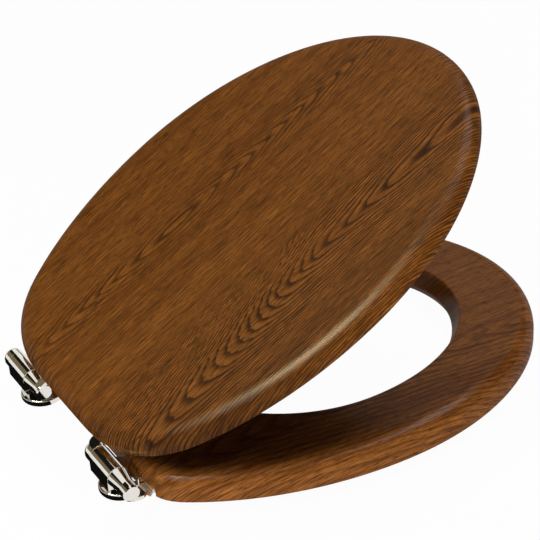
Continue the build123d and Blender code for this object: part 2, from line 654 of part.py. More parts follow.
            extrude(amount=KNUCKLE_LENGTH - KNUCKLE_ROUND)
        add(seat_leaf_plane.to_local_coords(eye.part if lid_capped else knuckle.part))
        with BuildSketch(seat_leaf_plane):
            with Locations((seat_plate_x, -SEAT_PLATE_START)):
                RectangleRounded(
                    LEAF_WIDTH, SEAT_PLATE_LENGTH, LEAF_CORNER, align=(Align.CENTER, Align.MAX)
                )
        extrude(amount=LEAF_THICKNESS)
        drill_countersinks(SEAT_SCREW_POINTS[side])
    save(seat_leaf.part, f"{side}_seat_leaf")

    seat_screws = wood_screws(seat_leaf_plane, SEAT_SCREW_POINTS[side], SEAT_SCREW_DEPTH)
    save(seat_screws, f"{side}_seat_screws")
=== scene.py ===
"""Looks of a wood toilet seat with a lid and chrome hinges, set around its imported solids.

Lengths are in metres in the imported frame: +Z up, the front of the seat towards -Y and the
origin midway between the fixing holes. Wood figures are given in millimetres in the plan
of their board: across from the centre line, and forward of the hinge axis.
"""

import logging
from dataclasses import dataclass, field, replace
from enum import Enum
from math import atan2, radians

import bmesh
import bpy
from mathutils import Matrix, Vector


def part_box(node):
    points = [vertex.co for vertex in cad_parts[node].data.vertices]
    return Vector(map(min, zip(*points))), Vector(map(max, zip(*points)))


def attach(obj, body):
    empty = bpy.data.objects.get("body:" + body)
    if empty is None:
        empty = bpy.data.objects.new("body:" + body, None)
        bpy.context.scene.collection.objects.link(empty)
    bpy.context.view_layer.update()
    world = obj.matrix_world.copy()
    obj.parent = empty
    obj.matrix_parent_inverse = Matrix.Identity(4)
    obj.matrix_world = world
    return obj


LOG = logging.getLogger("toilet_seat")
MILLIMETRE = 0.001
ORIGIN = (0.0, 0.0, 0.0)
HINGE_AXIS = (0.0, 0.0114, 0.0293)
LID_OPENING = radians(29.1)
TONE_SPAN = (0.3, 0.7)
WHITE = (1.0, 1.0, 1.0, 1.0)

Point = tuple[float, float, float]
Colour = tuple[float, float, float]
Span = tuple[float, float]
Socket = bpy.types.NodeSocket
Value = Socket | float

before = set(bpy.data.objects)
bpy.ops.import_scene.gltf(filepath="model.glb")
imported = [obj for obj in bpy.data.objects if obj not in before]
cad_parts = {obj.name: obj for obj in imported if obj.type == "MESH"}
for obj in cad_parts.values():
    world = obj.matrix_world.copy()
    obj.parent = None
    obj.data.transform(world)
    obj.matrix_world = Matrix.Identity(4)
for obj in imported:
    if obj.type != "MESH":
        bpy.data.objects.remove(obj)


class Direction(Enum):
    """Which way the arches of a flat-sawn figure point."""

    TO_HINGE = 1.0
    TO_FRONT = -1.0


@dataclass(frozen=True)
class Cloud:
    """Cloudy noise: one cloud's length along each axis, its finer layers and their strength."""

    stretch: Point
    detail: float = 2.0
    roughness: float = 0.5


class Recipe:
    """The nodes of one material, written from its finish."""

    def __init__(self, name: str) -> None:
        """Start an empty material with a shader and an output.

        Args:
            name: The material's name.
        """
        self.material = bpy.data.materials.new(name)
        self.material.use_nodes = True
        self.nodes = self.material.node_tree.nodes
        self.links = self.material.node_tree.links
        self.nodes.clear()
        self.shader = self.nodes.new("ShaderNodeBsdfPrincipled")
        output = self.nodes.new("ShaderNodeOutputMaterial")
        self.links.new(self.shader.outputs["BSDF"], output.inputs["Surface"])

    def feed(self, target: Socket, value: Value) -> None:
        """Link a socket to an input, or write a number on it.

        Args:
            target: The input socket.
            value: A socket to link, or a number.
        """
        if isinstance(value, bpy.types.NodeSocket):
            self.links.new(value, target)
        else:
            target.default_value = value

    def sum(self, operation: str, first: Value, second: Value = 0.0, third: Value = 0.0) -> Socket:
        """Do one step of arithmetic.

        Args:
            operation: Name of the Math operation.
            first: First operand.
            second: Second operand.
            third: Third operand.

        Returns:
            The result's socket.
        """
        node = self.nodes.new("ShaderNodeMath")
        node.operation = operation
        for target, value in zip(node.inputs, (first, second, third)):
            self.feed(target, value)
        return node.outputs["Value"]

    def step(self, value: Value, span: Span) -> Socket:
        """Ease from 0 at the start of a span to 1 at its end.

        Args:
            value: What is eased.
            span: Where the result is 0 and where it is 1.

        Returns:
            The eased share.
        """
        node = self.nodes.new("ShaderNodeMapRange")
        node.interpolation_type = "SMOOTHSTEP"
        self.feed(node.inputs["Value"], value)
        node.inputs["From Min"].default_value, node.inputs["From Max"].default_value = span
        return node.outputs["Result"]

    def place(self, location: Point, turn: float, unit: float) -> Socket:
        """Object coordinates in a frame of their own.

        Args:
            location: Origin of that frame.
            turn: Its turn about X.
            unit: Length of its unit in metres.

        Returns:
            The coordinates in that frame and unit.
        """
        source = self.nodes.new("ShaderNodeTexCoord")
        node = self.nodes.new("ShaderNodeMapping")
        node.vector_type = "TEXTURE"
        node.inputs["Location"].default_value = location
        node.inputs["Rotation"].default_value = (turn, 0.0, 0.0)
        node.inputs["Scale"].default_value = (unit, unit, unit)
        self.links.new(source.outputs["Object"], node.inputs["Vector"])
        return node.outputs["Vector"]

    def split(self, vector: Socket) -> tuple[Socket, Socket, Socket]:
        """Take a vector apart.

        Args:
            vector: The vector.

        Returns:
            Its three parts.
        """
        node = self.nodes.new("ShaderNodeSeparateXYZ")
        self.links.new(vector, node.inputs["Vector"])
        return node.outputs["X"], node.outputs["Y"], node.outputs["Z"]

    def noise(self, vector: Socket, cloud: Cloud) -> Socket:
        """Write cloudy noise.

        Args:
            vector: Coordinates.
            cloud: How the noise is stretched and layered.

        Returns:
            Noise about 0.5.
        """
        squeeze = self.nodes.new("ShaderNodeMapping")
        squeeze.inputs["Scale"].default_value = tuple(1.0 / length for length in cloud.stretch)
        self.links.new(vector, squeeze.inputs["Vector"])
        node = self.nodes.new("ShaderNodeTexNoise")
        node.inputs["Scale"].default_value = 1.0
        node.inputs["Detail"].default_value = cloud.detail
        node.inputs["Roughness"].default_value = cloud.roughness
        self.links.new(squeeze.outputs["Vector"], node.inputs["Vector"])
        return node.outputs["Fac"]

    def swing(self, noise: Socket, amount: float) -> Socket:
        """Noise about 0.5 turned into a swing of the given amount about 0."""
        return self.sum("MULTIPLY_ADD", noise, 2.0 * amount, -amount)

    def join(self, across: Value, along: Value) -> Socket:
        """Put a vector together from its first two parts.

        Args:
            across: Its first part.
            along: Its second part.

        Returns:
            The vector.
        """
        node = self.nodes.new("ShaderNodeCombineXYZ")
        self.feed(node.inputs["X"], across)
        self.feed(node.inputs["Y"], along)
        return node.outputs["Vector"]

    def scale(self, vector: Socket, factor: Socket) -> Socket:
        """Scale a vector or a colour.

        Args:
            vector: What is scaled.
            factor: By how much.

        Returns:
            The scaled vector.
        """
        node = self.nodes.new("ShaderNodeVectorMath")
        node.operation = "SCALE"
        self.links.new(vector, node.inputs["Vector"])
        self.links.new(factor, node.inputs["Scale"])
        return node.outputs["Vector"]

    def ramp(self, share: Socket, span: Span, colours: tuple[Colour, Colour]) -> Socket:
        """Go from one colour to another.

        Args:
            share: Where between them.
            span: The shares that have the first and the second colour.
            colours: The two colours.

        Returns:
            The colour.
        """
        node = self.nodes.new("ShaderNodeValToRGB")
        for element, place, colour in zip(node.color_ramp.elements, span, colours):
            element.position = place
            element.color = (*colour, 1.0)
        self.links.new(share, node.inputs["Fac"])
        return node.outputs["Color"]

    def blend(self, share: Socket, first: Socket, second: Colour, kind: str = "MIX") -> Socket:
        """Lay one colour over another.

        Args:
            share: Share of the second one.
            first: Colour below.
            second: Colour above.
            kind: Name of the blend.

        Returns:
            The mixed colour.
        """
        node = self.nodes.new("ShaderNodeMix")
        node.data_type = "RGBA"
        node.blend_type = kind
        node.inputs["B"].default_value = (*second, 1.0)
        self.links.new(share, node.inputs["Factor"])
        self.links.new(first, node.inputs["A"])
        return node.outputs["Result"]

    def relief(self, height: Socket, depth: float, strength: float) -> None:
        """Give the surface a fine relief.

        Args:
            height: Height from 0 to 1.
            depth: Depth of the relief in metres.
            strength: How much of it is kept.
        """
        node = self.nodes.new("ShaderNodeBump")
        node.inputs["Strength"].default_value = strength
        node.inputs["Distance"].default_value = depth
        self.links.new(height, node.inputs["Height"])
        self.links.new(node.outputs["Normal"], self.shader.inputs["Normal"])


@dataclass(frozen=True)
class Arches:
    """One flat-sawn figure: nested arches about a line along the board, in millimetres."""

    direction: Direction
    middle: float
    lean: float
    lean_limit: float
    fold: float
    fold_round: float
    waist: float
    waist_taper: float
    waist_least: float
    slope: float
    pitch: float
    dense: float
    spread: float
    drift: float
    band_start: float
    band_full: float
    band_end: float
    contrast: float
    year_cloud: Cloud = Cloud((1.0, 48.0, 1.0), detail=1.0)

    def rings(self, recipe: Recipe, across: Socket, forward: Socket) -> Socket:
        """Count the rings from the figure's heart.

        Args:
            recipe: The material being written.
            across: Place across the board.
            forward: Place along the board.

        Returns:
            The count of rings, with its fraction.
        """
        leaning = recipe.sum("MULTIPLY_ADD", forward, self.lean, self.middle)
        line = recipe.sum("MINIMUM", leaning, self.lean_limit)
        aside = recipe.sum("SUBTRACT", across, line)
        folded = recipe.sum("SUBTRACT", forward, self.fold)
        along = recipe.sum("SQRT", recipe.sum("MULTIPLY_ADD", folded, folded, self.fold_round**2))
        tapered = recipe.sum("MULTIPLY_ADD", forward, -self.waist_taper, self.waist)
        waist = recipe.sum("MAXIMUM", tapered, self.waist_least)
        square = recipe.sum("MULTIPLY", waist, waist)
        flank = recipe.sum("SQRT", recipe.sum("MULTIPLY_ADD", aside, aside, square))
        drop = recipe.sum("MULTIPLY", recipe.sum("SUBTRACT", flank, waist), self.slope)
        reach = recipe.sum("DIVIDE", recipe.sum("SUBTRACT", along, self.dense), self.spread)
        bunched = recipe.sum("MULTIPLY", recipe.sum("ARCTANGENT", reach), self.spread)
        fallen = recipe.sum("MULTIPLY", drop, -1.0)
        height = recipe.sum("MULTIPLY_ADD", bunched, self.direction.value, fallen)
        years = recipe.noise(recipe.join(0.0, along), self.year_cloud)
        uneven = recipe.sum("ADD", height, recipe.swing(years, self.drift))
        return recipe.sum("DIVIDE", uneven, self.pitch)

    def band(self, recipe: Recipe, across: Socket) -> Socket:
        """Fade the figure out across the board.

        Args:
            recipe: The material being written.
            across: Place across the board.

        Returns:
            Share of the figure, from 0 beside it to 1 in it.
        """
        near = recipe.step(across, (self.band_start, self.band_full))
        far = recipe.step(across, (self.band_end, self.band_full))
        return recipe.sum("MULTIPLY", near, far)


@dataclass(frozen=True)
class Unevenness:
    """What both boards share of a tree's uneven growth, with clouds in millimetres across and along."""

    sway_cloud: Cloud = Cloud((34.0, 150.0, 1.0))
    sway: float = 6.0
    quiver_cloud: Cloud = Cloud((5.0, 32.0, 1.0))
    quiver: float = 1.3
    tooth_cloud: Cloud = Cloud((4.2, 60.0, 1.0), detail=1.0)
    tooth: float = 5.0
    ring_rise: Span = (0.34, 0.84)
    ring_fall: Span = (1.0, 0.88)
    fade_cloud: Cloud = Cloud((26.0, 130.0, 1.0))
    fade_gain: float = 1.1
    fade_least: float = 0.42
    fibre_cloud: Cloud = Cloud((0.85, 24.0, 1.0), detail=3.0, roughness=0.62)
    fibre_least: float = 0.3
    fibre_gloss: float = 0.14
    streak_cloud: Cloud = Cloud((13.0, 420.0, 1.0), detail=3.0, roughness=0.6)
    streak_span: Span = (0.42, 0.66)
    pore_cloud: Cloud = Cloud((1.1, 9.0, 1.0), roughness=0.6)
    pore_span: Span = (0.52, 0.64)
    pore_share: float = 0.6
    relief_depth: float = 0.00012
    relief_share: float = 0.25


@dataclass(frozen=True)
class WoodFinish:
    """Lacquered wood with a flat-sawn figure, fine fibres and pores."""

    name: str
    turn: float
    tilt: float
    figures: tuple[Arches, ...]
    early: Colour
    late: Colour
    pore: Colour
    streak: Colour
    grain_pitch: float
    grain_contrast: float
    fibre_contrast: float
    roughness: float
    coat: float
    coat_roughness: float
    growth: Unevenness = Unevenness()

    def plan(self, recipe: Recipe) -> Socket:
        """Coordinates in the plan of the board, slanted through its thickness.

        Args:
            recipe: The material being written.

        Returns:
            Place across the board and back along it.
        """
        board = recipe.place(HINGE_AXIS, self.turn, MILLIMETRE)
        sideways, backward, upward = recipe.split(board)
        across = recipe.sum("MULTIPLY_ADD", upward, self.tilt, sideways)
        return recipe.join(across, backward)

    def depth_of_ring(self, recipe: Recipe, rings: Socket) -> Socket:
        """Darken slowly through the year and turn light at once.

        Args:
            recipe: The material being written.
            rings: The count of rings, with its fraction.

        Returns:
            How dark a place in its ring is.
        """
        share = recipe.sum("FRACT", rings)
        rise = recipe.step(share, self.growth.ring_rise)
        fall = recipe.step(share, self.growth.ring_fall)
        return recipe.sum("MULTIPLY", rise, fall)

    def darkness(self, recipe: Recipe, plan: Socket) -> Socket:
        """Lay the straight grain and the figures over each other.

        Args:
            recipe: The material being written.
            plan: Coordinates in the plan of the board.

        Returns:
            How dark the rings make each place.
        """
        growth = self.growth
        across, backward, _ = recipe.split(plan)
        sway = recipe.swing(recipe.noise(plan, growth.sway_cloud), growth.sway)
        quiver = recipe.swing(recipe.noise(plan, growth.quiver_cloud), growth.quiver)
        tooth = recipe.swing(recipe.noise(plan, growth.tooth_cloud), growth.tooth)
        swayed = recipe.sum("ADD", across, recipe.sum("ADD", sway, quiver))
        toothed = recipe.sum("SUBTRACT", tooth, backward)
        straight = self.depth_of_ring(recipe, recipe.sum("DIVIDE", swayed, self.grain_pitch))
        dark = recipe.sum("MULTIPLY", straight, self.grain_contrast)
        for figure in self.figures:
            arch = self.depth_of_ring(recipe, figure.rings(recipe, swayed, toothed))
            share = figure.band(recipe, swayed)
            strong = recipe.sum("MULTIPLY", arch, figure.contrast)
            rest = recipe.sum("MULTIPLY", dark, recipe.sum("SUBTRACT", 1.0, share))
            dark = recipe.sum("MULTIPLY_ADD", strong, share, rest)
        cloud = recipe.noise(plan, growth.fade_cloud)
        fade = recipe.sum("MULTIPLY_ADD", cloud, growth.fade_gain, growth.fade_least)
        return recipe.sum("MULTIPLY", dark, fade)

    def material(self) -> bpy.types.Material:
        """Write the material.

        Returns:
            The finished material.
        """
        growth = self.growth
        recipe = Recipe(self.name)
        plan = self.plan(recipe)
        fibre = recipe.noise(plan, growth.fibre_cloud)
        streaks = recipe.step(recipe.noise(plan, growth.streak_cloud), growth.streak_span)
        pores = recipe.step(recipe.noise(plan, growth.pore_cloud), growth.pore_span)

        tone = recipe.ramp(self.darkness(recipe, plan), (0.0, 1.0), (self.early, self.late))
        streaked = recipe.blend(streaks, tone, self.streak, "MULTIPLY")
        fibrous = recipe.sum("MULTIPLY_ADD", fibre, self.fibre_contrast, 1.0 - self.fibre_contrast / 2)
        lit = recipe.scale(streaked, recipe.sum("MAXIMUM", fibrous, growth.fibre_least))
        pored = recipe.blend(recipe.sum("MULTIPLY", pores, growth.pore_share), lit, self.pore)
        recipe.links.new(pored, recipe.shader.inputs["Base Color"])

        smoothest = self.roughness - growth.fibre_gloss / 2
        gloss = recipe.sum("MULTIPLY_ADD", fibre, growth.fibre_gloss, smoothest)
        recipe.links.new(gloss, recipe.shader.inputs["Roughness"])
        recipe.shader.inputs["Specular IOR Level"].default_value = 0.0
        recipe.shader.inputs["Coat Weight"].default_value = self.coat
        recipe.shader.inputs["Coat Roughness"].default_value = self.coat_roughness
        recipe.relief(recipe.sum("SUBTRACT", fibre, pores), growth.relief_depth, growth.relief_share)
        return recipe.material


@dataclass(frozen=True)
class MetalFinish:
    """Metal with a little wear in its gloss, which may be satin forward of the barrels."""

    name: str
    colour: Colour
    shade: Colour
    roughness: float
    wear: float
    brushing: Point
    depth: float
    relief_share: float = 0.2
    cloud: Cloud = Cloud((9.0, 9.0, 9.0))
    arm_roughness: float = 0.0
    arm_span: Span = (2.0, -4.0)

    def material(self) -> bpy.types.Material:
        """Write the material.

        Returns:
            The finished material.
        """
        recipe = Recipe(self.name)
        plan = recipe.place(ORIGIN, 0.0, MILLIMETRE)
        brushed = recipe.noise(plan, Cloud(self.brushing, detail=3.0, roughness=0.6))
        cloud = recipe.noise(plan, self.cloud)
        tone = recipe.ramp(cloud, TONE_SPAN, (self.shade, self.colour))
        recipe.links.new(tone, recipe.shader.inputs["Base Color"])
        polished = recipe.sum("MULTIPLY_ADD", brushed, self.wear, self.roughness)
        _, backward, _ = recipe.split(plan)
        arm = recipe.step(backward, self.arm_span)
        gloss = recipe.sum("MULTIPLY_ADD", arm, self.arm_roughness, polished)
        recipe.links.new(gloss, recipe.shader.inputs["Roughness"])
        recipe.shader.inputs["Metallic"].default_value = 1.0
        recipe.relief(brushed, self.depth, self.relief_share)
        return recipe.material


@dataclass(frozen=True)
class MouldedFinish:
    """Rubber or plastic from a mould, with a fine grain."""

    name: str
    colour: Colour
    shade: Colour
    roughness: float
    grain: float
    depth: float
    relief_share: float = 0.3
    cloud: Cloud = Cloud((6.0, 6.0, 6.0), detail=3.0)
    grain_gloss: float = 0.2

    def material(self) -> bpy.types.Material:
        """Write the material.

        Returns:
            The finished material.
        """
        recipe = Recipe(self.name)
        place = recipe.place(ORIGIN, 0.0, MILLIMETRE)
        cloud = recipe.noise(place, self.cloud)
        fine = recipe.noise(place, Cloud((self.grain,) * 3))
        tone = recipe.ramp(cloud, TONE_SPAN, (self.shade, self.colour))
        recipe.links.new(tone, recipe.shader.inputs["Base Color"])
        smoothest = self.roughness - self.grain_gloss / 2
        gloss = recipe.sum("MULTIPLY_ADD", fine, self.grain_gloss, smoothest)
        recipe.links.new(gloss, recipe.shader.inputs["Roughness"])
        recipe.relief(fine, self.depth, self.relief_share)
        return recipe.material


LID_NEAR_FIGURE = Arches(
    direction=Direction.TO_HINGE,
    middle=-117.5,
    lean=0.123,
    lean_limit=-88.0,
    fold=0.0,
    fold_round=12.0,
    waist=34.0,
    waist_taper=0.05,
    waist_least=14.0,
    slope=6.2,
    pitch=11.5,
    dense=160.0,
    spread=113.0,
    drift=7.0,
    band_start=-520.0,
    band_full=-70.0,
    band_end=-20.0,
    contrast=1.0,
)
LID_FAR_FIGURE = Arches(
    direction=Direction.TO_FRONT,
    middle=63.0,
    lean=0.0,
    lean_limit=63.0,
    fold=175.0,
    fold_round=34.0,
    waist=6.0,
    waist_taper=0.0,
    waist_least=6.0,
    slope=4.9,
    pitch=18.0,
    dense=0.0,
    spread=600.0,
    drift=10.0,
    band_start=30.0,
    band_full=62.0,
    band_end=92.0,
    contrast=0.8,
)
SEAT_FIGURE = Arches(
    direction=Direction.TO_HINGE,
    middle=-118.0,
    lean=0.05,
    lean_limit=-100.0,
    fold=0.0,
    fold_round=12.0,
    waist=20.0,
    waist_taper=0.03,
    waist_least=6.0,
    slope=5.0,
    pitch=26.0,
    dense=0.0,
    spread=600.0,
    drift=16.0,
    band_start=-420.0,
    band_full=-110.0,
    band_end=-70.0,
    contrast=0.6,
)
LID_WOOD = WoodFinish(
    name="lid_wood",
    turn=-LID_OPENING,
    tilt=0.4,
    figures=(LID_NEAR_FIGURE, LID_FAR_FIGURE),
    early=(0.197, 0.067, 0.0100),
    late=(0.042, 0.0130, 0.0022),
    pore=(0.045, 0.015, 0.0035),
    streak=(0.76, 0.72, 0.69),
    grain_pitch=2.7,
    grain_contrast=0.36,
    fibre_contrast=4.2,
    roughness=0.36,
    coat=0.16,
    coat_roughness=0.34,
)
SEAT_WOOD = WoodFinish(
    name="seat_wood",
    turn=0.0,
    tilt=0.75,
    figures=(SEAT_FIGURE,),
    # early and late are lighter than the lid's: partly the ring's own tone, partly painted light that
    # makes the ring read brighter than the lid
    early=(0.238, 0.084, 0.0173),
    late=(0.066, 0.021, 0.0042),
    pore=(0.045, 0.015, 0.0035),
    streak=(0.70, 0.64, 0.60),
    grain_pitch=2.4,
    grain_contrast=0.42,
    fibre_contrast=2.8,
    roughness=0.34,
    coat=0.16,
    coat_roughness=0.18,
)
CHROME = MetalFinish(
    name="hinge_chrome",
    colour=(0.80, 0.77, 0.71),
    shade=(0.75, 0.72, 0.66),
    roughness=0.02,
    wear=0.05,
    brushing=(3.0, 3.0, 3.0),
    depth=0.000004,
)
LEAF_CHROME = replace(CHROME, name="leaf_chrome", arm_roughness=0.3)
PLATE_STEEL = MetalFinish(
    name="plate_steel",
    colour=(0.62, 0.61, 0.60),
    shade=(0.50, 0.50, 0.50),
    roughness=0.22,
    wear=0.2,
    brushing=(8.0, 0.2, 0.2),
    depth=0.00002,
)
SCREW_STEEL = MetalFinish(
    name="screw_steel",
    colour=(0.66, 0.65, 0.62),
    shade=(0.52, 0.51, 0.50),
    roughness=0.2,
    wear=0.22,
    brushing=(0.3, 0.3, 0.3),
    depth=0.00002,
)
BUFFER_RUBBER = MouldedFinish(
    name="buffer_rubber",
    colour=(0.62, 0.61, 0.58),
    shade=(0.53, 0.52, 0.49),
    roughness=0.62,
    grain=0.35,
    depth=0.00003,
)
GASKET_RUBBER = MouldedFinish(
    name="gasket_rubber",
    colour=(0.035, 0.035, 0.036),
    shade=(0.022, 0.022, 0.023),
    roughness=0.7,
    grain=0.35,
    depth=0.00003,
)
DAMPER_PLASTIC = MouldedFinish(
    name="damper_plastic",
    colour=(0.055, 0.055, 0.060),
    shade=(0.040, 0.040, 0.044),
    roughness=0.45,
    grain=0.25,
    depth=0.00002,
)
WASHER_PLASTIC = MouldedFinish(
    name="washer_plastic",
    colour=(0.66, 0.65, 0.62),
    shade=(0.58, 0.57, 0.54),
    roughness=0.4,
    grain=0.25,
    depth=0.00002,
)

Finish = WoodFinish | MetalFinish | MouldedFinish


def put_in_scene(name: str, data: bpy.types.ID) -> bpy.types.Object:
    """Put an object in the scene, at the origin.

    Args:
        name: The object's name.
        data: Its mesh, light or camera.

    Returns:
        The object.
    """
    item = bpy.data.objects.new(name, data)
    bpy.context.scene.collection.objects.link(item)
    return item


def mesh_of(name: str, shape: bmesh.types.BMesh, material: bpy.types.Material) -> bpy.types.Mesh:
    """Turn a shape into a mesh of one material.

    Args:
        name: The mesh's name.
        shape: The shape, freed here.
        material: What it is made of.

    Returns:
        The mesh.
    """
    data = bpy.data.meshes.new(name)
    shape.to_mesh(data)
    shape.free()
    data.materials.append(material)
    return data


class Dresser:
    """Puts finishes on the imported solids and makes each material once."""

    def __init__(self) -> None:
        """Start with no material made."""
        self.made: dict[str, bpy.types.Material] = {}

    def material(self, finish: Finish) -> bpy.types.Material:
        """Give a finish its material, made on first use.

        Args:
            finish: The finish.

        Returns:
            Its material.
        """
        if finish.name not in self.made:
            self.made[finish.name] = finish.material()
        return self.made[finish.name]

    def dress(self, node: str, finish: Finish) -> None:
        """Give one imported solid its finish.

        Args:
            node: Name of the solid.
            finish: What it is made of.
        """
        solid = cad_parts[node]
        solid.data.materials.clear()
        solid.data.materials.append(self.material(finish))
        LOG.info("%s: %s", node, finish.name)

    def add_piece(self, name: str, mesh: bmesh.types.BMesh, finish: Finish, body: str) -> None:
        """Turn a mesh into a piece that moves with a body.

        Args:
            name: The piece's name.
            mesh: Its shape, freed here.
            finish: What it is made of.
            body: The body that it rides on.
        """
        piece = put_in_scene(name, mesh_of(name, mesh, self.material(finish)))
        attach(piece, body)
        LOG.info("%s: %s", name, finish.name)


@dataclass
class Cover:
    """The lid with its buffers."""

    board: str = "lid"
    buffers: tuple[str, ...] = ("lid_buffer_left", "lid_buffer_right")
    screws: str = "lid_buffer_screws"

    def build(self, dresser: Dresser) -> None:
        """Dress the lid and what is screwed to it.

        Args:
            dresser: What gives the finishes.
        """
        dresser.dress(self.board, LID_WOOD)
        for buffer in self.buffers:
            dresser.dress(buffer, BUFFER_RUBBER)
        dresser.dress(self.screws, SCREW_STEEL)


@dataclass
class Seat:
    """The ring with its buffers."""

    ring: str = "seat_ring"
    corners: tuple[str, ...] = ("front_left", "front_right", "rear_left", "rear_right")
    screws: str = "seat_buffer_screws"
    back_span: float = 0.150
    back_depth: float = 0.014
    back_inset: float = 0.0002
    back_round: float = 0.006
    back_segments: int = 6

    def build(self, dresser: Dresser) -> None:
        """Dress the ring and what is screwed to it.

        Args:
            dresser: What gives the finishes.
        """
        dresser.dress(self.ring, SEAT_WOOD)
        for corner in self.corners:
            dresser.dress(f"seat_buffer_{corner}", BUFFER_RUBBER)
        dresser.dress(self.screws, SCREW_STEEL)
        self.build_back(dresser)

    def build_back(self, dresser: Dresser) -> None:
        """Close the hollow in the back of the ring with a straight rounded edge.

        Args:
            dresser: What gives the finishes.
        """
        low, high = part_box(self.ring)
        rear = high[1] - self.back_inset
        foot = low[2] + self.back_inset
        head = high[2] - self.back_inset
        rail = bmesh.new()
        bmesh.ops.create_cube(rail, size=1.0)
        bmesh.ops.scale(rail, verts=rail.verts[:], vec=(self.back_span, self.back_depth, head - foot))
        middle = (0.0, rear - self.back_depth / 2, (foot + head) / 2)
        bmesh.ops.translate(rail, verts=rail.verts[:], vec=middle)
        raised = [edge for edge in rail.edges if all(vert.co.z > middle[2] for vert in edge.verts)]
        rounded = [edge for edge in raised if all(vert.co.y > middle[1] for vert in edge.verts)]
        bmesh.ops.bevel(
            rail,
            geom=rounded,
            offset=self.back_round,
            segments=self.back_segments,
            profile=0.5,
            affect="EDGES",
            material=-1,
        )
        dresser.add_piece("seat_ring_back", rail, SEAT_WOOD, "seat")


@dataclass
class Hinge:
    """One damped hinge on its foot."""

    side: str
    finishes: dict[str, Finish] = field(
        default_factory=lambda: {
            "foot": CHROME,
            "gasket": GASKET_RUBBER,
            "post": CHROME,
            "fixing_nut": PLATE_STEEL,
            "damper": DAMPER_PLASTIC,
            "damper_spindle": PLATE_STEEL,
            "pivot_pin": PLATE_STEEL,
            "lid_washer": WASHER_PLASTIC,
            "seat_washer": WASHER_PLASTIC,
            "lid_leaf": LEAF_CHROME,
            "lid_screws": SCREW_STEEL,
            "seat_leaf": LEAF_CHROME,
            "seat_screws": SCREW_STEEL,
        }
    )

    def build(self, dresser: Dresser) -> None:
        """Dress every piece of the hinge."""
        for piece, finish in self.finishes.items():
            dresser.dress(f"{self.side}_{piece}", finish)


@dataclass(frozen=True)
class Lamp:
    """One soft lamp that faces the object."""

    name: str
    place: Point
    sides: Span
    power: float
    in_reflections: bool = True


@dataclass(frozen=True)
class Flag:
    """One round wall of a single tone, which only reflections see."""

    name: str
    foot: float
    head: float
    tone: Colour
    is_open: bool


LAMPS = (
    Lamp("front_softbox", place=(0.2, -1.25, 2.2), sides=(1.5, 1.3), power=34.5),
    Lamp("rear_softbox", place=(-0.2, 0.33, 0.6), sides=(0.5, 0.4), power=3.2),
    Lamp("side_strip", place=(-1.5, 0.5, 0.05), sides=(1.2, 0.06), power=22.0, in_reflections=False),
)
FLAGS = (
    Flag("studio_flag_low", foot=0.45, head=0.8, tone=(0.20, 0.165, 0.10), is_open=False),
    Flag("studio_flag_middle", foot=0.8, head=1.35, tone=(0.20, 0.165, 0.10), is_open=True),
    Flag("studio_flag_high", foot=1.35, head=2.4, tone=(0.012, 0.011, 0.008), is_open=True),
)


